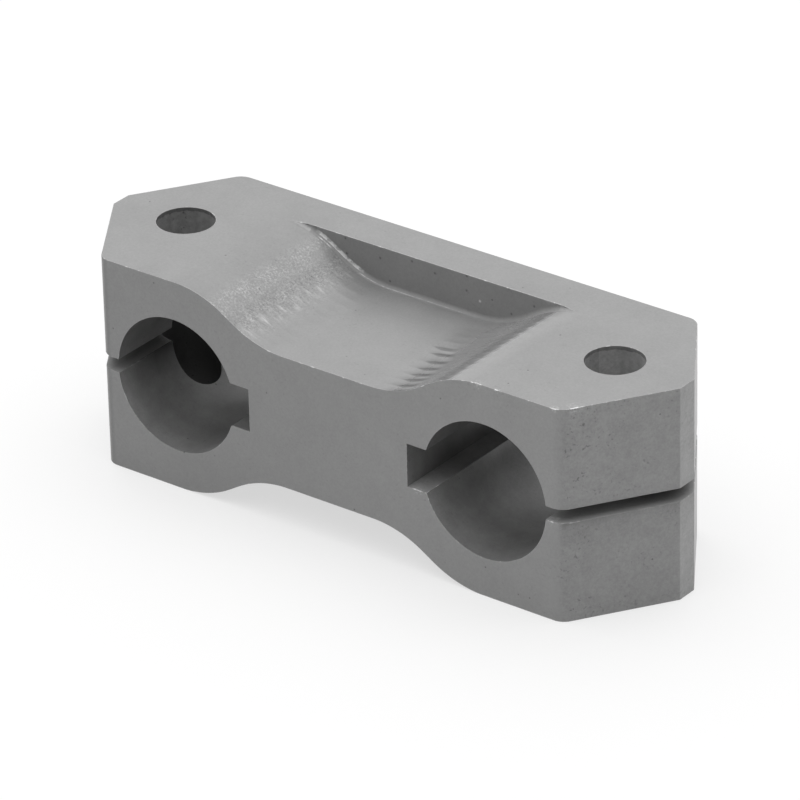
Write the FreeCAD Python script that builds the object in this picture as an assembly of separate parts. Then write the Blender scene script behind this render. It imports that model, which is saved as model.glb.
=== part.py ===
import FreeCAD, Part
import math
import os

from FreeCAD import Vector

# A rigid clamping bar that ties two parallel keyed shafts together: one block of steel with
# a keyed bore at each end, a saw slot from each bore out through the end wall, a clamp bolt
# hole across each slot, and a pocket milled into the top and the underside of its waist.
#
# Millimetres. The origin is at the middle of the underside. +X runs along the bar, +Y along
# the shafts from the front face to the back face, and +Z up along the clamp bolts.

# Shaft bores and keyways
SHAFT_SPACING = 65.0
BORE_D = 25.0
KEY_WIDTH = 8.0
KEY_DEPTH = 3.3

# Bar, measured from the bore axes
BAR_DEPTH = 39.0
BAR_HEIGHT = 39.5
END_PAST_BORE = 27.0
FACE_PAST_BORE = 15.5
END_WIDTH = 4.0
CORNER_R = 3.0

# Clamp bolts and saw slots
BOLT_PAST_BORE = 12.6
BOLT_HOLE_D = 10.2
SLOT_HEIGHT = 2.5

# Waist: a pocket on each side with a ramp at both ends and a rib left along the back
WAIST_THICKNESS = 25.0
FLOOR_LENGTH = 18.0
RAMP_DEGREES = 31.5
BEND_R = 20.0
RIB_THICKNESS = 8.5
RIB_FOOT_R = 1.0
RUN_OUT = 0.02

# How far a cutting shape reaches past the metal that it cuts
PAST = 5.0

FRONT = -BAR_DEPTH / 2
BACK = BAR_DEPTH / 2
MID_HEIGHT = BAR_HEIGHT / 2
BORE_X = SHAFT_SPACING / 2
END_X = BORE_X + END_PAST_BORE
BOLT_X = BORE_X + BOLT_PAST_BORE
SIDES = (-1, 1)


def block():
    """The bar before it is machined: an eight-sided plan with rounded face corners."""
    face_x = BORE_X + FACE_PAST_BORE
    end_y = END_WIDTH / 2
    plan = [
        Vector(-face_x, FRONT, 0), Vector(face_x, FRONT, 0),
        Vector(END_X, -end_y, 0), Vector(END_X, end_y, 0),
        Vector(face_x, BACK, 0), Vector(-face_x, BACK, 0),
        Vector(-END_X, end_y, 0), Vector(-END_X, -end_y, 0),
    ]
    outline = Part.makePolygon(plan + plan[:1])
    bar = Part.Face(outline).extrude(Vector(0, 0, BAR_HEIGHT))
    corners = [edge for edge in bar.Edges if is_face_corner(edge, face_x)]
    return bar.makeFillet(CORNER_R, corners)


def is_face_corner(edge, face_x):
    """True for an upright edge where the front or back face meets an end chamfer."""
    box = edge.BoundBox
    return box.ZLength > MID_HEIGHT and math.isclose(abs(box.Center.x), face_x, abs_tol=0.01)


def ramp(side, floor_z, top_z):
    """Edges of one ramp from the pocket floor outward: a bend, a straight and a bend."""
    angle = math.radians(RAMP_DEGREES)
    rise = top_z - floor_z
    bend_r = min(BEND_R, 0.98 * rise / (2 * (1 - math.cos(angle))))
    straight = (rise - 2 * bend_r * (1 - math.cos(angle))) / math.sin(angle)
    bend_run = bend_r * math.sin(angle)
    run = 2 * bend_run + straight * math.cos(angle)

    def point(out, up):
        return Vector(side * (FLOOR_LENGTH / 2 + out), 0, floor_z + up)

    def on_bend(turn, out, up, sign):
        return point(out + sign * bend_r * math.sin(turn), up - sign * bend_r * math.cos(turn))

    lower = [on_bend(angle * share, 0, bend_r, 1) for share in (0, 0.5, 1)]
    upper = [on_bend(angle * share, run, rise - bend_r, -1) for share in (1, 0.5, 0)]
    return [
        Part.Arc(*lower).toShape(),
        Part.LineSegment(lower[2], upper[0]).toShape(),
        Part.Arc(*upper).toShape(),
    ]


def pocket():
    """The metal cut from the top of the waist, with a rounded foot along the rib."""
    floor_z = MID_HEIGHT + WAIST_THICKNESS / 2
    sky = BAR_HEIGHT + PAST
    right = ramp(1, floor_z, BAR_HEIGHT + RUN_OUT)
    left = ramp(-1, floor_z, BAR_HEIGHT + RUN_OUT)
    floor = Part.LineSegment(left[0].firstVertex().Point, right[0].firstVertex().Point).toShape()
    bottom = left[::-1] + [floor] + right
    left_end = left[2].BoundBox.XMin
    right_end = right[2].BoundBox.XMax
    lid = Part.makePolygon([
        Vector(left_end, 0, BAR_HEIGHT + RUN_OUT), Vector(left_end, 0, sky),
        Vector(right_end, 0, sky), Vector(right_end, 0, BAR_HEIGHT + RUN_OUT),
    ])
    profile = Part.Wire(Part.__sortEdges__(bottom + lid.Edges))
    wall_y = BACK - RIB_THICKNESS
    start_y = FRONT - PAST
    profile.translate(Vector(0, start_y, 0))
    cutter = Part.Face(profile).extrude(Vector(0, wall_y - start_y, 0))
    foot = [edge for edge in cutter.Edges if is_foot(edge, wall_y)]
    return cutter.makeFillet(RIB_FOOT_R, foot)


def is_foot(edge, wall_y):
    """True for an edge of the pocket's back face that lies along its floor or a ramp."""
    box = edge.BoundBox
    at_wall = math.isclose(box.YMin, wall_y, abs_tol=0.01) and box.YLength < 0.01
    return at_wall and box.XLength > 0.01 and box.ZMin < BAR_HEIGHT


def upside_down(shape):
    """The same cut made from the underside, with the rib still along the back."""
    return shape.mirror(Vector(0, 0, MID_HEIGHT), Vector(0, 0, 1))


def bore(side):
    start = Vector(side * BORE_X, FRONT - PAST, MID_HEIGHT)
    return Part.makeCylinder(BORE_D / 2, BAR_DEPTH + 2 * PAST, start, Vector(0, 1, 0))


def beam(x_from, x_to, height):
    """A box through the whole depth at mid-height, between two places along X."""
    corner = Vector(min(x_from, x_to), FRONT - PAST, MID_HEIGHT - height / 2)
    return Part.makeBox(abs(x_to - x_from), BAR_DEPTH + 2 * PAST, height, corner)


def keyway(side):
    """On the inboard side of the bore."""
    return beam(side * BORE_X, side * (BORE_X - BORE_D / 2 - KEY_DEPTH), KEY_WIDTH)


def slot(side):
    """From the bore out through the end wall."""
    return beam(side * BORE_X, side * (END_X + PAST), SLOT_HEIGHT)


def bolt_hole(side):
    start = Vector(side * BOLT_X, 0, -PAST)
    return Part.makeCylinder(BOLT_HOLE_D / 2, BAR_HEIGHT + 2 * PAST, start, Vector(0, 0, 1))


def coupling_body():
    """The whole bar, one solid."""
    top_pocket = pocket()
    cuts = [top_pocket, upside_down(top_pocket)]
    for side in SIDES:
        cuts += [bore(side), keyway(side), slot(side), bolt_hole(side)]
    return block().cut(cuts).removeSplitter()


os.makedirs("parts", exist_ok=True)
body = coupling_body()
body.exportStep("parts/coupling_body.step")
extent = body.optimalBoundingBox(False)
print("coupling_body: %d solid, valid %s, %.0f mm3, %.2f x %.2f x %.2f mm" % (
    len(body.Solids), body.isValid(), body.Volume, extent.XLength, extent.YLength, extent.ZLength))
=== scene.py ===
import math

import bmesh
import bpy
from mathutils import Matrix, Vector

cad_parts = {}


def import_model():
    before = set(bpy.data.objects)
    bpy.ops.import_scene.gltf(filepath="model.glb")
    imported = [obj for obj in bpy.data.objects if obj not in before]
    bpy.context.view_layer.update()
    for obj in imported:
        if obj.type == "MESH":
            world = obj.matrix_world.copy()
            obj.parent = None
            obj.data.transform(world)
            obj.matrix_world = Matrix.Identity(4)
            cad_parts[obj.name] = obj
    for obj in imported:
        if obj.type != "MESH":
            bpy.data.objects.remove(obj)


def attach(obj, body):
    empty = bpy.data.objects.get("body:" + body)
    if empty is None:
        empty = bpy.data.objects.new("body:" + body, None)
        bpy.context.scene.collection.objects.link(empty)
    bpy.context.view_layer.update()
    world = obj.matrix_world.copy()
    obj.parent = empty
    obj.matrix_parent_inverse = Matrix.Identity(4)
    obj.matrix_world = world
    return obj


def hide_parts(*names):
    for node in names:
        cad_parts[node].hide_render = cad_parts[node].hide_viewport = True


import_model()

# The clamp coupling as the photograph shows it: a milled steel bar on a pale floor.
# Metres. The frame is the part's own: origin under the middle of the bar, +X along the bar,
# +Y along the bores towards the ribbed back, +Z up.
MM = 0.001

# Sizes of the bar that its skin repeats
HALF_DEPTH = 19.5 * MM
HEIGHT = 39.5 * MM
MID_Z = HEIGHT / 2
END_HALF_WIDTH = 2.0 * MM
CORNER_R = 3.0 * MM
BOLT_R = 5.1 * MM
SLOT_HALF = 1.25 * MM

# The bores and keyways, and the places that are measured from the bores' axes
BORE_X = 32.5 * MM
BORE_R = 12.5 * MM
KEY_HALF_WIDTH = 4.0 * MM
KEY_BOTTOM = BORE_R + 3.3 * MM
BOLT_X = BORE_X + 12.6 * MM
FACE_X = BORE_X + 15.5 * MM
END_X = BORE_X + 27.0 * MM

# The pocket: half of its flat floor, its ramps, and the rib behind it with a rounded foot
POCKET_DEPTH = 7.25 * MM
POCKET_END = 26.2 * MM
FLOOR_HALF = 9.0 * MM
RAMP_ANGLE = math.radians(31.5)
BEND_R = 20.0 * MM
RUN_OUT = 0.02 * MM
WALL_Y = HALF_DEPTH - 8.5 * MM
FOOT_R = 1.0 * MM

# The way that a chamfer faces, how far out it lies, and how far a cutter reaches past the bar
CHAMFER_WAY = Vector((HALF_DEPTH - END_HALF_WIDTH, END_X - FACE_X)).normalized()
CHAMFER_OUT = CHAMFER_WAY.dot(Vector((END_X, END_HALF_WIDTH)))
PAST = 5.0 * MM

# Cutter marks along the ramps: the ridges left between passes, front to back, and how far
# the metal leans beside a ridge once the ramp has climbed to the full slope for it
RIDGES = [y * MM for y in (-22.0, -19.6, -17.3, -14.9, -12.7, -10.1, -7.4, -4.3, -2.0, 0.7,
                           3.2, 5.6, 7.9, 10.0)]
RIDGE_LEAN = math.radians(7.0)
LEFT_LEAN = 0.35
FULL_LEAN_SLOPE = math.radians(9.0)
TOP_LEAN = 0.45

# Broken edges: their width and steps, the angle over which an edge is broken, the angle under
# which shading runs on smoothly, and how close vertices lie that are merged
EDGE_BREAK = 0.12 * MM
BREAK_STEPS = 2
SHARP_EDGE = math.radians(35)
SMOOTH_UNDER = math.radians(30)
MERGE_GAP = 0.001 * MM
FLAT_FACE_WEIGHT = 100

# Steps along each rounded stretch
CORNER_STEPS = 10
BEND_STEPS = 22
FOOT_STEPS = 8
BORE_STEPS = 192
BOLT_STEPS = 128
STEPS_PER_PASS = 8

# Soft light: how bright the studio is to the left, behind the bar and overhead, and how narrow
# the light overhead is
LIGHT_LEFT = 0.53
LIGHT_BEHIND = 0.45
LIGHT_ABOVE = 2.08
LIGHT_NARROW = 3.0

# The pale floor: its size, its drop below the bar, its grey, and what lifts it to white when
# it is seen
FLOOR_SIZE = 6
FLOOR_DROP = 0.02 * MM
FLOOR_GREY = 0.38
FLOOR_LIFT = 0.62

# Camera, from the photograph's edges: angles, distance to the bar and lens
VIEW_AZIMUTH = math.radians(37.788)
VIEW_ELEVATION = math.radians(27.986)
VIEW_ROLL = math.radians(-1.330)
VIEW_DISTANCE = 1051.9 * MM
VIEW_LENS = 280.2
VIEW_SENSOR = 36
VIEW_REACH = 20
VIEW_AIM_RIGHT = 0.354 * MM
VIEW_AIM_DOWN = 1.216 * MM

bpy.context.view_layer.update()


def mesh_object(name, bm):
    mesh = bpy.data.meshes.new(name)
    bmesh.ops.recalc_face_normals(bm, faces=bm.faces)
    bm.to_mesh(mesh)
    bm.free()
    piece = bpy.data.objects.new(name, mesh)
    bpy.context.scene.collection.objects.link(piece)
    return piece


def skin_between(bm, rings):
    """Quads between neighbouring rings of vertices, with a flat cap at each end."""
    count = len(rings[0])
    for near, far in zip(rings, rings[1:]):
        for i in range(count):
            j = (i + 1) % count
            bm.faces.new((near[i], near[j], far[j], far[i]))
    bm.faces.new(rings[0])
    bm.faces.new(rings[-1])


def prism(name, outline, low, high, axis):
    """A closed prism of an outline of 2D points, along Y or Z."""
    bm = bmesh.new()

    def place(a, b, along):
        return Vector((a, along, b)) if axis == "Y" else Vector((a, b, along))

    rings = [[bm.verts.new(place(a, b, along)) for a, b in outline] for along in (low, high)]
    skin_between(bm, rings)
    return mesh_object(name, bm)


def arc_points(centre, radius, start, end, steps):
    """Points on an arc, both ends included."""
    angles = [start + (end - start) * i / steps for i in range(steps + 1)]
    return [(centre[0] + radius * math.cos(a), centre[1] + radius * math.sin(a)) for a in angles]


def rounded_corner(before, corner, after, radius, steps):
    """Arc points that round one corner of an outline."""
    to_before = (Vector(before) - Vector(corner)).normalized()
    to_after = (Vector(after) - Vector(corner)).normalized()
    half = to_before.angle(to_after) / 2
    centre = Vector(corner) + (to_before + to_after).normalized() * (radius / math.sin(half))
    touch = [Vector(corner) + way * (radius / math.tan(half)) for way in (to_before, to_after)]
    start, end = [math.atan2(*(point - centre).yx) for point in touch]
    turn = (end - start + math.pi) % (2 * math.pi) - math.pi
    return arc_points(centre, radius, start, start + turn, steps)


def block():
    """The eight-sided bar with rounded face corners."""
    plan = [
        (-FACE_X, -HALF_DEPTH), (FACE_X, -HALF_DEPTH), (END_X, -END_HALF_WIDTH),
        (END_X, END_HALF_WIDTH), (FACE_X, HALF_DEPTH), (-FACE_X, HALF_DEPTH),
        (-END_X, END_HALF_WIDTH), (-END_X, -END_HALF_WIDTH),
    ]
    outline = []
    for i, corner in enumerate(plan):
        if abs(corner[0]) == FACE_X:
            outline += rounded_corner(plan[i - 1], corner, plan[(i + 1) % len(plan)], CORNER_R,
                                      CORNER_STEPS)
        else:
            outline.append(corner)
    return prism("coupling_skin", outline, 0, HEIGHT, "Z")


def ramp_stations():
    """Points along the pocket's bottom from its middle to its end, as (x, z, slope)."""
    rise = POCKET_DEPTH + RUN_OUT
    flat_rise = 2 * BEND_R * (1 - math.cos(RAMP_ANGLE))
    straight = (rise - flat_rise) / math.sin(RAMP_ANGLE)
    run = 2 * BEND_R * math.sin(RAMP_ANGLE) + straight * math.cos(RAMP_ANGLE)
    floor_z = HEIGHT - POCKET_DEPTH
    angles = [RAMP_ANGLE * i / BEND_STEPS for i in range(BEND_STEPS + 1)]
    lower = [(FLOOR_HALF + BEND_R * math.sin(a), floor_z + BEND_R * (1 - math.cos(a)), a)
             for a in angles]
    upper = [(FLOOR_HALF + run - BEND_R * math.sin(a),
              floor_z + rise - BEND_R * (1 - math.cos(a)), a) for a in reversed(angles)]
    return lower + upper


def pass_rows():
    """Rows across the ramps, each with its hollow below the ridges for a lean of one."""
    rows = []
    for near, far in zip(RIDGES, RIDGES[1:]):
        width = far - near
        for i in range(STEPS_PER_PASS):
            across = i / STEPS_PER_PASS
            rows.append((near + across * width, across * (1 - across) * width))
    rows.append((RIDGES[-1], 0))
    return rows


def ridge_lean(z, slope):
    """How far the metal leans beside a ridge: not on the floor, less at the left and the top."""
    climb = (z - HEIGHT + POCKET_DEPTH) / POCKET_DEPTH
    grown = min(1, abs(slope) / FULL_LEAN_SLOPE) * (1 if slope > 0 else LEFT_LEAN)
    return RIDGE_LEAN * grown * (1 - (1 - TOP_LEAN) * climb)


def pocket_cutter(name):
    """What the mill took from the top of the waist, with its marks left on the ramps."""
    half = ramp_stations()
    stations = [(-x, z, -slope) for x, z, slope in reversed(half)] + half
    rows = pass_rows()
    foot = [(WALL_Y - FOOT_R + FOOT_R * math.sin(a), FOOT_R * (1 - math.cos(a)))
            for a in [math.pi / 2 * i / FOOT_STEPS for i in range(1, FOOT_STEPS + 1)]]
    sky = 2 * PAST

    bm = bmesh.new()
    rings = []
    for x, z, slope in stations:
        out = Vector((-math.sin(slope), 0, math.cos(slope)))
        base = Vector((x, 0, z))
        lean = ridge_lean(z, slope)
        ring = [bm.verts.new(base + Vector((0, y, 0)) - out * (hollow * lean))
                for y, hollow in rows]
        for y, up in foot:
            ring.append(bm.verts.new(base + Vector((0, y, 0)) + out * up))
        for y in (WALL_Y, rows[0][0]):
            ring.append(bm.verts.new(base + Vector((0, y, 0)) + out * sky))
        rings.append(ring)
    skin_between(bm, rings)
    return mesh_object(name, bm)


def upside_down(piece, name):
    """A copy mirrored to the underside."""
    flip = Matrix.Translation((0, 0, HEIGHT)) @ Matrix.Scale(-1, 4, (0, 0, 1))
    mesh = piece.data.copy()
    mesh.transform(flip)
    mesh.flip_normals()
    copy = bpy.data.objects.new(name, mesh)
    bpy.context.scene.collection.objects.link(copy)
    return copy


def beam(name, x_from, x_to, half_height):
    low, high = sorted((x_from, x_to))
    outline = [(low, MID_Z - half_height), (high, MID_Z - half_height),
               (high, MID_Z + half_height), (low, MID_Z + half_height)]
    return prism(name, outline, -HALF_DEPTH - PAST, HALF_DEPTH + PAST, "Y")


def cutters():
    top = pocket_cutter("cut_pocket")
    pieces = [top, upside_down(top, "cut_pocket_under")]
    for side in (-1, 1):
        rim = arc_points((side * BORE_X, MID_Z), BORE_R, 0, 2 * math.pi, BORE_STEPS)[:-1]
        pieces.append(prism("cut_bore", rim, -HALF_DEPTH - PAST, HALF_DEPTH + PAST, "Y"))
        pieces.append(beam("cut_key", side * BORE_X, side * (BORE_X - KEY_BOTTOM), KEY_HALF_WIDTH))
        pieces.append(beam("cut_slot", side * BORE_X, side * (END_X + PAST), SLOT_HALF))
        rim = arc_points((side * BOLT_X, 0), BOLT_R, 0, 2 * math.pi, BOLT_STEPS)[:-1]
        pieces.append(prism("cut_bolt", rim, -PAST, HEIGHT + PAST, "Z"))
    return pieces


def apply_modifiers(piece):
    """Replaces the piece's mesh with the result of its modifiers."""
    depsgraph = bpy.context.evaluated_depsgraph_get()
    mesh = bpy.data.meshes.new_from_object(piece.evaluated_get(depsgraph))
    piece.modifiers.clear()
    piece.data = mesh


def merge_close(piece):
    """Merges vertices that lie on one another and drops those that only split an edge."""
    bm = bmesh.new()
    bm.from_mesh(piece.data)
    bmesh.ops.remove_doubles(bm, verts=bm.verts, dist=MERGE_GAP)
    bmesh.ops.dissolve_degenerate(bm, edges=bm.edges, dist=MERGE_GAP)
    bmesh.ops.dissolve_verts(bm, verts=[vert for vert in bm.verts if len(vert.link_edges) == 2])
    bm.to_mesh(piece.data)
    bm.free()


def mark_outer_edges(piece):
    """Gives the sharp edges that stand out a bevel weight, and inside corners none."""
    bm = bmesh.new()
    bm.from_mesh(piece.data)
    weight = bm.edges.layers.float.new("bevel_weight_edge")
    for edge in bm.edges:
        if edge.is_convex and edge.calc_face_angle(0) > SHARP_EDGE:
            edge[weight] = 1
    bm.to_mesh(piece.data)
    bm.free()


def coupling_skin():
    """The bar's visible skin: the CAD form with cutter marks and broken edges."""
    piece = block()
    for finish in (steel("milled_face", worn_and_glinting=False), steel("worn_glinting_edge", worn_and_glinting=True)):
        piece.data.materials.append(finish)
    for cutter in cutters():
        cut = piece.modifiers.new("cut", "BOOLEAN")
        cut.operation = "DIFFERENCE"
        cut.solver = "EXACT"
        cut.object = cutter
        apply_modifiers(piece)
        bpy.data.objects.remove(cutter)
    mark_outer_edges(piece)
    bevel = piece.modifiers.new("broken_edges", "BEVEL")
    bevel.width = EDGE_BREAK
    bevel.segments = BREAK_STEPS
    bevel.limit_method = "WEIGHT"
    bevel.use_clamp_overlap = False
    bevel.material = piece.data.materials.find("worn_glinting_edge")
    apply_modifiers(piece)
    merge_close(piece)
    piece.data.shade_smooth()
    piece.data.set_sharp_from_angle(angle=SMOOTH_UNDER)
    weigh = piece.modifiers.new("flat_faces", "WEIGHTED_NORMAL")
    weigh.mode = "FACE_AREA"
    weigh.weight = FLAT_FACE_WEIGHT
    weigh.keep_sharp = True
    apply_modifiers(piece)
    return piece


class Nodes:
    """Short calls for building a node tree."""

    def __init__(self, tree):
        self.tree = tree

    def add(self, kind, inputs=(), **settings):
        """A node with its settings made and its inputs set or linked, by name or number."""
        made = self.tree.nodes.new(kind)
        for name, value in settings.items():
            setattr(made, name, value)
        for name, value in dict(inputs).items():
            if isinstance(value, bpy.types.NodeSocket):
                self.tree.links.new(value, made.inputs[name])
            else:
                made.inputs[name].default_value = value
        return made

    def math(self, operation, *values):
        return self.add("ShaderNodeMath", enumerate(values), operation=operation).outputs[0]

    def chain(self, operation, values):
        """One operation carried on through all the values."""
        result = values[0]
        for value in values[1:]:
            result = self.math(operation, result, value)
        return result

    def product(self, *values):
        return self.chain("MULTIPLY", values)

    def total(self, *values):
        return self.chain("ADD", values)

    def largest(self, *values):
        return self.chain("MAXIMUM", values)

    def smallest(self, *values):
        return self.chain("MINIMUM", values)

    def minus(self, value, taken):
        return self.math("SUBTRACT", value, taken)

    def size(self, value):
        return self.math("ABSOLUTE", value)

    def length(self, a, b):
        """Length of the flat vector (a, b)."""
        return self.math("SQRT", self.total(self.product(a, a), self.product(b, b)))

    def over(self, value, limit):
        """One where the value is over the limit, nothing elsewhere."""
        return self.math("GREATER_THAN", value, limit)

    def under(self, value, limit):
        """One where the value is under the limit, nothing elsewhere."""
        return self.math("LESS_THAN", value, limit)

    def split(self, vector):
        return self.add("ShaderNodeSeparateXYZ", {0: vector}).outputs

    def noise(self, where, scale, detail, roughness=0.5):
        values = {"Vector": where, "Scale": scale, "Detail": detail, "Roughness": roughness}
        return self.add("ShaderNodeTexNoise", values).outputs["Fac"]

    def stretched(self, where, x, y, z):
        ends = {"Vector": where, "Scale": (x, y, z)}
        return self.add("ShaderNodeMapping", ends).outputs[0]

    def remap(self, value, low, high, to_low, to_high):
        """A clamped linear remap."""
        ends = {"Value": value, "From Min": low, "From Max": high,
                "To Min": to_low, "To Max": to_high}
        return self.add("ShaderNodeMapRange", ends).outputs[0]

    def fade(self, length, low, high, to_low, to_high):
        """A remap of a length, with its low and high in millimetres."""
        return self.remap(length, low * MM, high * MM, to_low, to_high)

    def slide(self, length, *ends):
        """A remap of a length to another length, with all four ends in millimetres."""
        return self.remap(length, *[end * MM for end in ends])

    def between(self, value, low, high, soft):
        """One between two limits, fading to nothing outside them."""
        rising = self.remap(value, low - soft, low + soft, 0, 1)
        falling = self.remap(value, high - soft, high + soft, 1, 0)
        return self.product(rising, falling)

    def span(self, length, low, high, soft):
        """The same for a length, with its limits in millimetres."""
        return self.between(length, low * MM, high * MM, soft * MM)

    def tint(self, mask, factor):
        """One outside the mask and a fixed factor inside it."""
        return self.remap(mask, 0, 1, 1, factor)

    def inside(self, mask, value):
        """One outside the mask and a changing value inside it."""
        return self.add("ShaderNodeMix", {0: mask, 2: 1.0, 3: value}).outputs[0]


# How the zones of the skin are told apart: how much a level face points up or down, how close
# a point lies to a surface that it belongs to, and the mean width of a milling pass
LEVEL = 0.5
AT_WALL = 0.01 * MM
AT_CUT = 0.03 * MM
BELOW_TOP = 0.05 * MM
FOOT_SOFT = 0.02 * MM
MEAN_PASS = 2.46 * MM


class Place:
    """Where a point of the skin lies: its coordinates, and a mask of one for each zone."""

    def __init__(self, n):
        self.where = n.add("ShaderNodeTexCoord").outputs["Object"]
        self.x, self.y, self.z = n.split(self.where)
        facing = n.split(n.add("ShaderNodeNewGeometry").outputs["Normal"])
        self.up = n.size(facing[2])
        self.slant = n.size(facing[0])
        self.out = n.size(self.x)
        self.from_middle = n.size(n.minus(self.z, MID_Z))

        # The pockets, the ramps in them up to the foot of the rib, and the rib's wall
        self.level = n.over(self.up, LEVEL)
        self.outer = n.over(self.from_middle, MID_Z - POCKET_DEPTH - EDGE_BREAK)
        self.before_foot = n.under(self.y, WALL_Y - FOOT_R)
        self.from_wall = n.size(n.minus(self.y, WALL_Y))
        self.pocket = n.product(n.under(self.out, POCKET_END), self.outer,
                                n.under(self.from_middle, MID_Z - BELOW_TOP))
        self.ramp = n.product(self.before_foot, self.level, self.pocket)
        self.wall = n.product(n.under(self.from_wall, AT_WALL), self.pocket)
        self.foot = n.product(n.between(self.y, WALL_Y - FOOT_R, WALL_Y - AT_WALL, FOOT_SOFT),
                              self.pocket)

        # The bolt holes and the slots
        from_axis = n.minus(self.out, BOLT_X)
        self.drilled = n.under(n.length(from_axis, self.y), BOLT_R + AT_CUT)
        self.sawn = n.product(n.under(self.from_middle, SLOT_HALF + AT_CUT),
                              n.over(self.out, BORE_X))

        # The bores with their keyways, and the keyways alone
        from_bore = n.minus(self.out, BORE_X)
        rounded = n.under(n.length(from_bore, self.from_middle), BORE_R + EDGE_BREAK)
        self.keyed = n.product(n.under(self.from_middle, KEY_HALF_WIDTH + EDGE_BREAK),
                               n.under(from_bore, 0), n.over(from_bore, -KEY_BOTTOM - EDGE_BREAK))
        self.within = n.under(n.size(self.y), HALF_DEPTH - EDGE_BREAK)
        self.bored = n.product(n.largest(rounded, self.keyed), self.within)

        # Places across the milling passes, as a share of one pass
        passes = n.math("DIVIDE", n.total(self.y, -RIDGES[0]), MEAN_PASS)
        self.pass_share = n.math("FRACT", passes)


# Many of these tones are painted light and shade: shade in hollows, highlights, glints, sheens and
# reflections.
# The finish, zone by zone: the numbers of a zone, then its function, which gives the tones that
# the steel's colour is multiplied by. A noise is its scale, detail and roughness. A fade is
# where it starts and ends, then its value at both. A span is its two limits and how softly it
# ends. The places of fades and spans are millimetres, unless a name in metres stands in them.

# Bands of grains with painted glints across the left ramp, a painted highlight dash at the foot of
# each pass, and dark pepper
GLINT_BANDS = ((-24.6, -21.9, 1.0), (-20.3, -17.8, 1.2))
GLINT_REACH = (-25.0, -15.0, 1.2)
GLINT_BAND_SHARE, GLINT_REACH_SHARE = 0.6, 0.4
GRAIN_NOISE = (2700, 3, 0.8)
GLINT_GRAIN_SIZE = (0.47, 0.64, 0, 1)
PATCH_NOISE = (420, 2)
PATCH_SIZE = (0.35, 0.60, 0.45, 1)
DASH_STRETCH = (420, 1500, 1)
DASH_NOISE = (1, 2)
DASH_SIZE = (0.44, 0.58, 0, 1)
DASH_IN_PASS = (0.25, 0.70, 0.20)
DASH_REACH = (-18.6, -16.0, 0.8)
DASH_FADE_AT_FRONT = (-19.3, -17.5, 0.2, 1)
HIGHLIGHT_DASH_STRENGTH = 0.90
PAINTED_SPARKLE_TONES = (0.98, 1.70)
PEPPER_SIZE = (0.36, 0.44, 1, 0)
PEPPER_REACH = (-21.2, -16.0, 1.2)
PEPPER_TONE = 0.80
LEFT_RAMP_TOP = (-33.0, -28.0, 0, 1)
LEFT_RAMP_BOTTOM = (-12.5, -9.5, 1, 0)
LEFT_RAMP_TONE = 0.915
LEFT_RAMP_MIDDLE = (-22.3, -20.7, 0.6)
LEFT_RAMP_MIDDLE_TONE = 1.08


def left_ramp_tones(n, at):
    """The left ramp is rougher and darker; its cutter grains and dashes carry painted glints and
    highlights.
    """
    bands = n.total(*[n.span(at.x, *band) for band in GLINT_BANDS])
    reach = n.total(n.product(bands, GLINT_BAND_SHARE),
                    n.product(n.span(at.x, *GLINT_REACH), GLINT_REACH_SHARE))
    fine = n.noise(at.where, *GRAIN_NOISE)
    patches = n.remap(n.noise(at.where, *PATCH_NOISE), *PATCH_SIZE)
    glint_grains = n.product(n.remap(fine, *GLINT_GRAIN_SIZE), patches, reach)

    dash_noise = n.noise(n.stretched(at.where, *DASH_STRETCH), *DASH_NOISE)
    highlight_dashes = n.product(n.remap(dash_noise, *DASH_SIZE), n.between(at.pass_share, *DASH_IN_PASS),
                       n.span(at.x, *DASH_REACH), n.fade(at.y, *DASH_FADE_AT_FRONT),
                       HIGHLIGHT_DASH_STRENGTH)
    painted_sparkle = n.product(n.largest(glint_grains, highlight_dashes), at.ramp)
    pepper = n.product(n.remap(fine, *PEPPER_SIZE), n.span(at.x, *PEPPER_REACH), at.ramp)

    whole = n.product(n.fade(at.x, *LEFT_RAMP_TOP), n.fade(at.x, *LEFT_RAMP_BOTTOM),
                      at.outer, at.level, at.before_foot)
    middle = n.product(n.span(at.x, *LEFT_RAMP_MIDDLE), whole)
    return [n.remap(painted_sparkle, 0, 1, *PAINTED_SPARKLE_TONES), n.tint(pepper, PEPPER_TONE),
            n.tint(whole, LEFT_RAMP_TONE), n.tint(middle, LEFT_RAMP_MIDDLE_TONE)]


# Painted reflections at the bottom of the right ramp: a dark finger at each ridge with painted
# highlight in the gaps, and painted shade behind them
FINGERS = 9
FINGER_TIPS = (-17.0, -6.0, 13.2, 11.5)
FINGER_TIPS_AT_BACK = (-6.0, -1.7, 0, -2.3)
FINGER_HALF_WIDTH = (-0.8, 1.6, -0.25, 0.60)
FINGER_EDGE = (-0.2, 0.2, 1, 0)
FINGER_DARK = 0.40
GAP_BRIGHT = (1.6, 3.3, 0.03, 0.30)
FINGER_END = (3.6, 5.2, 1, 0)
FINGER_START = (8.4, 9.8, 0, 1)
FINGER_BACK = (-2.4, -0.2, 1, 0)
WALL_SHADE_Y = (-0.5, 6.0, 2.0)
WALL_SHADE_X = (9.0, 13.5, 1.6)
WALL_SHADE_DARK = 0.13

# The top end of the right ramp: a painted dark reflection band with a ragged edge, and a painted
# sheen past it
BAND_EDGE = 25.1 * MM
BAND_RAGGED = 0.7 * MM
BAND_START = (21.3, 23.6, 0, 1)
BAND_END = (-0.15, 0.15, 1, 0)
REFLECTION_BAND_DARK = 0.20
TOP_SHEEN_START = (-0.15, 0.15, 0, 1)
TOP_SHEEN_END = (26.5, 31.0, 1, 0)
TOP_SHEEN_BRIGHT = 0.22
BAND_DEPTH = 3.2 * MM


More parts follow.
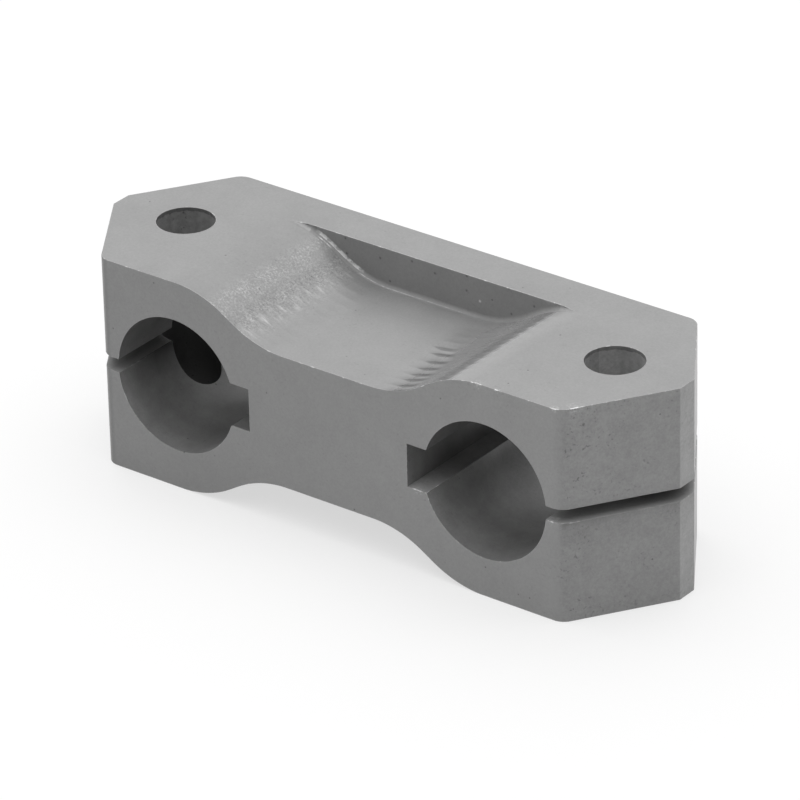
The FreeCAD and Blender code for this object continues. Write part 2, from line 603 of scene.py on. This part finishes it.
def right_ramp_reflections(n, at):
    """Painted reflection fingers and shade at the ramp's bottom, and the painted band and sheen at
    its top, in one tone.
    """
    from_ridge = n.smallest(*[n.size(n.minus(at.y, ridge)) for ridge in RIDGES[:FINGERS]])
    tips = n.total(n.slide(at.y, *FINGER_TIPS), n.slide(at.y, *FINGER_TIPS_AT_BACK))
    past_tip = n.minus(at.x, tips)
    past_side = n.minus(from_ridge, n.slide(past_tip, *FINGER_HALF_WIDTH))
    gap = n.fade(past_tip, *GAP_BRIGHT)
    finger = n.product(n.fade(past_side, *FINGER_EDGE), n.total(gap, FINGER_DARK))
    finger_reflections = n.product(n.minus(gap, finger), n.fade(past_tip, *FINGER_END),
                        n.fade(at.x, *FINGER_START), n.fade(at.y, *FINGER_BACK))
    painted_wall_shade = n.product(n.span(at.y, *WALL_SHADE_Y), n.span(at.x, *WALL_SHADE_X), WALL_SHADE_DARK)
    bottom = n.product(n.minus(finger_reflections, painted_wall_shade), at.ramp)

    past_edge = n.minus(at.x, n.total(n.product(at.pass_share, BAND_RAGGED), BAND_EDGE))
    band = n.product(n.fade(at.x, *BAND_START), n.fade(past_edge, *BAND_END), REFLECTION_BAND_DARK)
    top_sheen = n.product(n.fade(past_edge, *TOP_SHEEN_START), n.fade(at.x, *TOP_SHEEN_END), TOP_SHEEN_BRIGHT)
    top = n.product(n.minus(top_sheen, band), n.over(at.from_middle, MID_Z - BAND_DEPTH),
                    at.level, at.before_foot)
    return n.total(1, bottom, top)


# The dull rounded foot of the rib with painted shade, the cutter's witness lines in it painted as
# bright highlights, and painted shade on the metal at the pocket's left tip
FOOT_SHADE_TONE = 0.85
LINE_BAND = (WALL_Y - 0.62 * MM, WALL_Y - 0.50 * MM, 0.04 * MM)
LINE_LEFT_END = -15.8 * MM
LINE_LEFT_FADE = (-16.0, -4.0, 0.85, 0.40)
LINE_RIGHT_FADE = (3.0, 9.0, 1, 0)
STREAK_BAND = (WALL_Y - 0.30 * MM, WALL_Y - 0.03 * MM, 0.02 * MM)
STREAK_REACH = (-24.7, -15.6, 0.6)
STREAK_STRENGTH = 1.5
TWIN_BAND = (WALL_Y - 0.72 * MM, WALL_Y - 0.55 * MM, 0.04 * MM)
TWIN_REACH = (-24.2, -21.9, 0.4)
BROKEN_NOISE = (1100, 2)
BROKEN_SIZE = (0.40, 0.58, 0.25, 1)
FOOT_HIGHLIGHT_TONE = 2.6
NOOK_START = (WALL_Y - 1.3 * MM, WALL_Y - 1.0 * MM, 0, 1)
NOOK_END = WALL_Y - 0.005 * MM
NOOK_REACH = (-30.8, -26.4, 0.5)
NOOK_DEPTHS = (0.02 * MM, 2.0 * MM)
NOOK_SHADE_TONE = 0.84


def rib_foot_light_and_shade(n, at):
    """The painted highlight line runs along the foot, with a highlight streak and its twin beside
    the left ramp.
    """
    line = n.product(n.between(at.y, *LINE_BAND), n.over(at.x, LINE_LEFT_END),
                     n.fade(at.x, *LINE_LEFT_FADE), n.fade(at.x, *LINE_RIGHT_FADE))
    streak = n.product(n.span(at.x, *STREAK_REACH), n.between(at.y, *STREAK_BAND),
                       STREAK_STRENGTH)
    twin = n.product(n.span(at.x, *TWIN_REACH), n.between(at.y, *TWIN_BAND))
    broken = n.remap(n.noise(at.where, *BROKEN_NOISE), *BROKEN_SIZE)
    foot_highlights = n.product(n.largest(line, streak, twin), broken, at.pocket)

    nearest, deepest = NOOK_DEPTHS
    nook_shade = n.product(n.remap(at.y, *NOOK_START), n.under(at.y, NOOK_END),
                     n.span(at.x, *NOOK_REACH), n.over(at.from_middle, MID_Z - deepest),
                     n.under(at.from_middle, MID_Z - nearest))
    return [n.tint(foot_highlights, FOOT_HIGHLIGHT_TONE), n.tint(at.foot, FOOT_SHADE_TONE), n.tint(nook_shade, NOOK_SHADE_TONE)]


# Pits: a dark dot in a few of the cells, in more of them on the rib's wall, where a few specks
# carry a painted glint
PIT_CELLS = 330
PIT_SIZE = (0.035, 0.075, 1, 0)
PIT_LOT = 0.68
WALL_CELLS = 430
WALL_PIT_SIZE = (0.03, 0.15, 1, 0)
WALL_PIT_LOT = 0.80
WALL_GLINT_LOT = 0.06
PIT_TONE = 0.5
GLINT_SPECK_TONE = 2.2


def pits(n, at):
    """Masks of the dark pits and of the specks that carry a painted glint."""
    cells = n.add("ShaderNodeTexVoronoi", {"Vector": at.where, "Scale": PIT_CELLS})
    lot = n.add("ShaderNodeSeparateColor", {0: cells.outputs["Color"]}).outputs[0]
    dots = n.product(n.over(lot, PIT_LOT), n.remap(cells.outputs["Distance"], *PIT_SIZE))

    flat = n.add("ShaderNodeCombineXYZ", {0: at.x, 1: at.z}).outputs[0]
    cells = n.add("ShaderNodeTexVoronoi", {"Vector": flat, "Scale": WALL_CELLS},
                  voronoi_dimensions="2D")
    lot = n.add("ShaderNodeSeparateColor", {0: cells.outputs["Color"]}).outputs[0]
    specks = n.product(n.remap(cells.outputs["Distance"], *WALL_PIT_SIZE), at.wall)
    dark = n.product(specks, n.over(lot, WALL_PIT_LOT))
    return n.largest(dots, dark), n.product(specks, n.under(lot, WALL_GLINT_LOT))


# The chamfers and ends are blotchy, with crowds of small dark flecks, and painted shade by the
# slots
END_SLANT = (0.3, 0.6, 0, 1)
BLOTCH_NOISE = (360, 5, 0.7)
BLOTCH_SIZE = (0.35, 0.65, -1, 1)
BLOTCH_STRENGTH = 0.06
CROWD_NOISE = (190, 2)
CROWD_SIZE = (0.48, 0.60, 0, 1)
CROWD_FADE = (48.0, 57.0, 1.4, 0.6)
FLECK_NOISE = (1700, 2)
FLECK_SIZE = (0.60, 0.70, 0, 1)
FLECK_DARK = 0.32
MOTTLE_NOISE = (1300, 3, 0.7)
MOTTLE_SIZE = (0.35, 0.65, -0.05, 0.04)
STAIN_ELSEWHERE = 0.25
END_TONE = 0.975
SLOT_SHADOW_NEAR = (1.2, 2.6, 0.62, 0.86)
SLOT_SHADOW_FAR = (2.6, 7.0, 1, 1.163)
SLOT_SHADOW_FADE_OUT = (47.0, 57.0, 1, 0.5)
SLOT_SHADOW_OVER = (-3.0, -1.2, 0, -0.06)
BACK_SHEEN_SLANT = 0.97
BACK_SHEEN_TONE = 1.2
CORNER_SLANT = (0.02, 0.30, 0, 1)
CORNER_FADE_Y = (-18.2, -13.0, 1, 0)
CORNER_FADE_X = (-46.6, -46.2, 1, 0)
LEFT_CORNER_SHADE_TONE = 0.66


def end_tones(n, at, blotches):
    """The back right chamfer carries a painted sheen, and the corner at the front left painted
    shade.
    """
    on_end = n.product(n.remap(at.slant, *END_SLANT), n.minus(1, at.bored))
    crowds = n.product(n.remap(n.noise(at.where, *CROWD_NOISE), *CROWD_SIZE),
                       n.fade(at.out, *CROWD_FADE))
    flecks = n.product(n.remap(n.noise(at.where, *FLECK_NOISE), *FLECK_SIZE), crowds)
    mottle = n.remap(n.noise(at.where, *MOTTLE_NOISE), *MOTTLE_SIZE)
    stain = n.minus(n.product(blotches, BLOTCH_STRENGTH), n.product(flecks, FLECK_DARK))
    stain = n.product(n.total(stain, mottle), n.remap(on_end, 0, 1, STAIN_ELSEWHERE, 1))

    # Painted shade just below and above the slots, giving way to painted light further down
    below = n.minus(MID_Z, at.z)
    slot_shadow = n.product(n.fade(below, *SLOT_SHADOW_NEAR), n.fade(below, *SLOT_SHADOW_FAR))
    slot_shadow = n.product(n.minus(slot_shadow, 1), n.over(below, 0), n.fade(at.out, *SLOT_SHADOW_FADE_OUT))
    over_slot = n.product(n.fade(below, *SLOT_SHADOW_OVER), n.under(below, 0))
    beside_slot = n.minus(on_end, n.product(on_end, at.sawn))
    slot_shadow = n.product(n.total(slot_shadow, over_slot), beside_slot)

    # A painted sheen on the back right chamfer
    back_sheen = n.product(n.over(at.x, 0), n.over(at.y, END_HALF_WIDTH), on_end,
                      n.under(at.slant, BACK_SHEEN_SLANT))
    # Painted shade on the rounded corner at the front left
    corner = n.product(n.remap(at.slant, *CORNER_SLANT), n.fade(at.y, *CORNER_FADE_Y),
                       n.fade(at.x, *CORNER_FADE_X))
    return [n.total(1, stain), n.total(1, slot_shadow), n.tint(on_end, END_TONE),
            n.tint(back_sheen, BACK_SHEEN_TONE), n.tint(corner, LEFT_CORNER_SHADE_TONE)]


# The upright faces carry a little painted shade, most at the left, and the right end carries
# painted light
SIDE_UP = (0.3, 0.6, 1, 0)
SIDE_SHADE_FADE = (-45.0, 45.0, -0.13, -0.040)
RIGHT_END_LIGHT = (END_X - 0.10 * MM, END_X - 0.02 * MM, 1, 1.17)


def side_light_and_shade(n, at):
    side = n.product(n.remap(at.up, *SIDE_UP), n.minus(1, n.largest(at.wall, at.bored)),
                     n.fade(at.x, *SIDE_SHADE_FADE))
    return [n.total(1, side), n.remap(at.x, *RIGHT_END_LIGHT)]


# The slots carry painted shade from their lips inward, less so by the bores and more so at the
# left, and painted light at their lips
SLOT_DEPTH_SHADE = (0, 4.5, 1.15, 0.52)
SLOT_BY_BORE = (BORE_X + BORE_R, BORE_X + BORE_R + 2.0 * MM, 0.4, 0)
LEFT_SLOT_SHADE = 0.8


def slot_shade_tones(n, at):
    along, across = CHAMFER_WAY
    from_middle = n.total(n.product(at.out, along), n.product(n.size(at.y), across))
    depth = n.smallest(n.minus(CHAMFER_OUT, from_middle), n.minus(END_X, at.out))
    tone = n.total(n.fade(depth, *SLOT_DEPTH_SHADE), n.remap(at.out, *SLOT_BY_BORE))
    left = n.product(at.sawn, n.under(at.x, 0))
    return [n.inside(at.sawn, tone), n.tint(left, LEFT_SLOT_SHADE)]


# The bolt holes are patchy, with painted shade low down and where they meet the bores, and ragged
# painted shade at the lip
HOLE_TONES = (-1.0, 1.0, 1.13, 1.23)
DEEP_FADE = (9.0, 14.0, 1, 0)
LOW_FADE = (16.0, 19.0, 1, 0)
DEEP_SHADE_TONE = 0.27
LIP_NOISE = (900, 2)
LIP_RAGGED = 0.8 * MM
LIP_DEPTH = 0.3 * MM
LIP_SHADE_TONE = 0.60
PATCHY_NOISE = (1100, 3, 0.6)
PATCHY_SIZE = (0.35, 0.65, -0.12, 0.12)


def hole_tones(n, at, smears):
    """The holes' patches and the bores' smears are added up in one tone."""
    low = n.product(n.under(at.z, MID_Z), n.fade(at.from_middle, *LOW_FADE))
    deep_shade = n.product(at.drilled, n.largest(n.fade(at.from_middle, *DEEP_FADE), low))
    ragged = n.product(n.noise(at.where, *LIP_NOISE), LIP_RAGGED)
    lip_shade = n.product(at.drilled, n.over(n.total(at.from_middle, ragged), MID_Z - LIP_DEPTH))
    patchy = n.product(n.remap(n.noise(at.where, *PATCHY_NOISE), *PATCHY_SIZE),
                       n.minus(at.drilled, deep_shade))
    return [n.inside(at.drilled, n.fade(at.x, *HOLE_TONES)), n.tint(deep_shade, DEEP_SHADE_TONE),
            n.tint(lip_shade, LIP_SHADE_TONE), n.total(1, patchy, smears)]


# The bores carry painted shade, darker inward, with painted light near the front of their lower
# walls. The drop is how far below a bore's axis, as a share of its radius
BORE_DEPTH_SHADE = (-19.0, -10.0, 0.95, 0.74)
MOUTH_FADE = (-19.5, -15.0, 1, 0)
MOUTH_DROP = (0.45, 0.80, 0.50, 0)
WAIST_SPAN = (-9.0, -3.0, 2.0)
WAIST_DROP = (0.5, 1.0, -0.20, 0.22)
BELOW_SLOT_DROP = (0.12, 0.50, -0.80, 0)
BELOW_SLOT_FADE = (-17.0, -10.0, 0.15, 1)
FAR_FADE = (-3.0, 2.0, 0, -0.22)
FAR_DROP = (0.85, 1.0, 1, 0.3)
RIGHT_KEY_FADE = (-16.0, -8.0, 0, -0.38)
SMEAR_STRENGTH = 0.07

# The lower faces of the keyways catch the light
SHELF_UP = 0.8
SHELF_FRONT = (-19.5, -3.0, 1.5, 2.2)
SHELF_BACK = (-3.0, 5.0, 1, 0.6)
SHELF_SIDES = (-1.0, 1.0, 0.4, 1)


def bore_tones(n, at):
    drop = n.math("DIVIDE", n.minus(MID_Z, at.z), BORE_R)
    mouth = n.product(n.fade(at.y, *MOUTH_FADE), n.remap(drop, *MOUTH_DROP))
    waist = n.product(n.span(at.y, *WAIST_SPAN), n.remap(drop, *WAIST_DROP))
    below_slot = n.product(n.remap(drop, *BELOW_SLOT_DROP), n.under(at.x, -BORE_X),
                           n.fade(at.y, *BELOW_SLOT_FADE))
    far = n.product(n.fade(at.y, *FAR_FADE), n.remap(drop, *FAR_DROP))
    lower = n.product(n.over(drop, 0), n.minus(1, at.keyed), at.bored)
    shade = n.product(n.total(mouth, waist, below_slot, far), lower)
    right_key_shade = n.product(n.fade(at.y, *RIGHT_KEY_FADE), n.over(at.x, 0), at.keyed, at.within)

    shelf = n.product(n.under(at.z, MID_Z), n.over(at.up, SHELF_UP), at.keyed, at.within)
    shelf_tone = n.product(n.fade(at.y, *SHELF_FRONT), n.fade(at.y, *SHELF_BACK),
                           n.fade(at.x, *SHELF_SIDES))
    return [n.inside(at.bored, n.fade(at.y, *BORE_DEPTH_SHADE)), n.total(1, shade, right_key_shade),
            n.inside(shelf, shelf_tone)]


# Burrs and wear with painted glints: where the photograph shows a bright burr on an edge, as its
# place and reach
BURR_GLINTS = [
    ((46.8, -19.2, 39.5), 0.9), ((49.2, -16.9, 39.5), 1.6), ((31.2, -19.5, 39.5), 1.3),
    ((35.6, -19.5, 39.5), 0.8), ((18.8, -19.5, 15.8), 1.2), ((46.2, -18.6, 18.5), 1.3),
]
BURR_CORE = 0.6
NICK_NOISE = (700, 3, 0.6)
NICK_SIZE = (0.56, 0.68, 0, 0.5)
BURR_GRAIN = (0.35, 0.60, 0.2, 1)
WEAR_GLINT_TONES = (1.1, 3.0)
RIB_EDGE = 0.2 * MM
RIB_EDGE_GLINT_TONE = 1.25
CHIP_NOISE = (2400, 2)
CHIP_SIZE = (0.50, 0.62, 0, 1)
CHIP_GLINT_TONE = 1.35


def burr_glint_mask(n, at):
    near = []
    for place, reach in BURR_GLINTS:
        gap = n.add("ShaderNodeVectorMath", {0: at.where, 1: Vector(place) * MM},
                    operation="DISTANCE")
        near.append(n.fade(gap.outputs["Value"], BURR_CORE * reach, reach, 1, 0))
    return n.largest(0, *near)


def wear_and_glint_tones(n, at, grain):
    """A broken edge is worn and carries painted glints, most in its nicks, at the burrs and along
    the rib.
    """
    nick_glints = n.remap(n.noise(at.where, *NICK_NOISE), *NICK_SIZE)
    nick_glints = n.largest(nick_glints, n.product(burr_glint_mask(n, at), n.remap(grain, *BURR_GRAIN)))
    rib_edge_glint = n.product(n.under(at.from_wall, RIB_EDGE), n.under(at.out, POCKET_END))
    return [n.remap(nick_glints, 0, 1, *WEAR_GLINT_TONES), n.tint(rib_edge_glint, RIB_EDGE_GLINT_TONE)]


def chip_and_glint_tones(n, at):
    """A face is chipped beside the burrs, and the chips are painted bright as glints."""
    chip_glints = n.product(burr_glint_mask(n, at), n.remap(n.noise(at.where, *CHIP_NOISE), *CHIP_SIZE))
    return [n.tint(chip_glints, CHIP_GLINT_TONE)]


# The metal itself. The right ramp is smoother and brighter than the left one, and the slots, the
# bolt holes and the rib's foot are dull
STEEL_COLOUR = (0.375, 0.375, 0.375, 1)
CLOUD_NOISE = (110, 4, 0.6)
CLOUD_RANGE = (0.3, 0.7)
CLOUD_TONES = (0.96, 1.04)
CLOUD_ROUGH = (0.30, 0.36)
FACE_NOISE = (2600, 2)
FACE_TONES = (0.25, 0.75, 0.95, 1.05)
DRAG_STRETCH = (1900, 90, 1900)
DRAG_NOISE = (1, 3)
STEEP_START = (0.83, 0.85, 0, 1)
STEEP_END = (0.94, 0.998, 1, 0)
DULL_ROUGH = 0.25
STEEP_SMOOTH = 0.08
METAL, DULL_METAL = 0.32, 0.15
STEEP_METAL = 0.06
GRAIN_HEIGHT = 0.25
DRAG_HEIGHT = 0.35
BUMP_STRENGTH = 0.25
BUMP_DISTANCE = 0.05 * MM


def steel(name, worn_and_glinting):
    """Milled steel: cloudy tone, fine grain, drag marks along the bores, pits, wear and painted
    light and shade.
    """
    material = bpy.data.materials.new(name)
    material.use_nodes = True
    tree = material.node_tree
    shader = tree.nodes["Principled BSDF"]
    n = Nodes(tree)
    at = Place(n)

    clouds = n.noise(at.where, *CLOUD_NOISE)
    grain = n.noise(at.where, *FACE_NOISE)
    drag = n.noise(n.stretched(at.where, *DRAG_STRETCH), *DRAG_NOISE)
    blotches = n.remap(n.noise(at.where, *BLOTCH_NOISE), *BLOTCH_SIZE)
    smears = n.product(blotches, at.bored, SMEAR_STRENGTH)
    pit, glint_specks = pits(n, at)
    tones = [n.remap(clouds, *CLOUD_RANGE, *CLOUD_TONES), n.remap(grain, *FACE_TONES),
             n.tint(pit, PIT_TONE), n.tint(glint_specks, GLINT_SPECK_TONE), right_ramp_reflections(n, at)]
    tones += left_ramp_tones(n, at) + rib_foot_light_and_shade(n, at)
    tones += end_tones(n, at, blotches) + side_light_and_shade(n, at)
    tones += slot_shade_tones(n, at) + hole_tones(n, at, smears) + bore_tones(n, at)
    tones += wear_and_glint_tones(n, at, grain) if worn_and_glinting else chip_and_glint_tones(n, at)
    colour = n.add("ShaderNodeMix", {"Factor": 1.0, "A": STEEL_COLOUR, "B": n.product(*tones)},
                   data_type="RGBA", blend_type="MULTIPLY")
    tree.links.new(colour.outputs["Result"], shader.inputs["Base Color"])

    steep = n.product(n.remap(at.up, *STEEP_START), n.remap(at.up, *STEEP_END), at.ramp,
                      n.over(at.x, 0))
    dull = n.largest(at.drilled, at.sawn, at.foot)
    rough = n.total(n.remap(clouds, *CLOUD_RANGE, *CLOUD_ROUGH),
                    n.remap(dull, 0, 1, 0, DULL_ROUGH))
    rough = n.minus(rough, n.remap(steep, 0, 1, 0, STEEP_SMOOTH))
    metal = n.total(n.remap(dull, 0, 1, METAL, DULL_METAL), n.remap(steep, 0, 1, 0, STEEP_METAL))
    tree.links.new(rough, shader.inputs["Roughness"])
    tree.links.new(metal, shader.inputs["Metallic"])

    height = n.total(n.product(grain, GRAIN_HEIGHT), n.product(drag, DRAG_HEIGHT))
    bump = n.add("ShaderNodeBump", {"Strength": BUMP_STRENGTH, "Distance": BUMP_DISTANCE,
                                    "Height": n.minus(height, pit)})
    tree.links.new(bump.outputs[0], shader.inputs["Normal"])
    return material


def floor():
    """A pale floor that keeps the bar's shadow and looks white from the camera."""
    bpy.ops.mesh.primitive_plane_add(size=FLOOR_SIZE, location=(0, 0, -FLOOR_DROP))
    piece = bpy.context.object
    piece.name = "floor"
    material = bpy.data.materials.new("pale_floor")
    material.use_nodes = True
    tree = material.node_tree
    n = Nodes(tree)
    shader = tree.nodes["Principled BSDF"]
    shader.inputs["Base Color"].default_value = (FLOOR_GREY, FLOOR_GREY, FLOOR_GREY, 1)
    shader.inputs["Roughness"].default_value = 1.0
    shader.inputs["Specular IOR Level"].default_value = 0.0
    shader.inputs["Emission Color"].default_value = (1, 1, 1, 1)
    path = n.add("ShaderNodeLightPath").outputs
    seen = n.largest(path["Is Camera Ray"], path["Is Glossy Ray"], path["Is Transmission Ray"])
    tree.links.new(n.product(seen, FLOOR_LIFT), shader.inputs["Emission Strength"])
    piece.data.materials.append(material)


def world():
    """A softly lit studio, brightest overhead."""
    studio = bpy.data.worlds.new("studio")
    bpy.context.scene.world = studio
    studio.use_nodes = True
    tree = studio.node_tree
    n = Nodes(tree)
    way = n.add("ShaderNodeTexCoord").outputs["Generated"]
    x, y, z = n.split(way)
    left = n.product(n.smallest(x, 0), -LIGHT_LEFT)
    behind = n.product(n.largest(y, 0), LIGHT_BEHIND)
    above = n.product(n.math("POWER", n.largest(z, 0), LIGHT_NARROW), LIGHT_ABOVE)
    light = n.total(left, behind, above)
    tree.links.new(light, tree.nodes["Background"].inputs["Color"])


def camera():
    """The photograph's camera, aimed just beside the middle of the bar."""
    across, along = math.sin(VIEW_AZIMUTH), math.cos(VIEW_AZIMUTH)
    level, dip = math.cos(VIEW_ELEVATION), math.sin(VIEW_ELEVATION)
    right = Vector((along, across, 0))
    ahead = Vector((-across * level, along * level, -dip))
    down = ahead.cross(right)
    upright, tilt = math.cos(VIEW_ROLL), math.sin(VIEW_ROLL)
    right, down = upright * right - tilt * down, tilt * right + upright * down
    aim = Vector((0, 0, MID_Z)) + VIEW_AIM_RIGHT * right + VIEW_AIM_DOWN * down
    data = bpy.data.cameras.new("camera")
    data.lens = VIEW_LENS
    data.sensor_width = VIEW_SENSOR
    data.clip_end = VIEW_REACH
    cam = bpy.data.objects.new("camera", data)
    turn = Matrix((right, -down, -ahead)).transposed().to_4x4()
    cam.matrix_world = Matrix.Translation(aim - ahead * VIEW_DISTANCE) @ turn
    bpy.context.scene.collection.objects.link(cam)
    bpy.context.scene.camera = cam


bpy.context.scene.view_settings.view_transform = "Standard"
skin = coupling_skin()
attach(skin, "root")
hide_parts("coupling_body")
floor()
world()
camera()
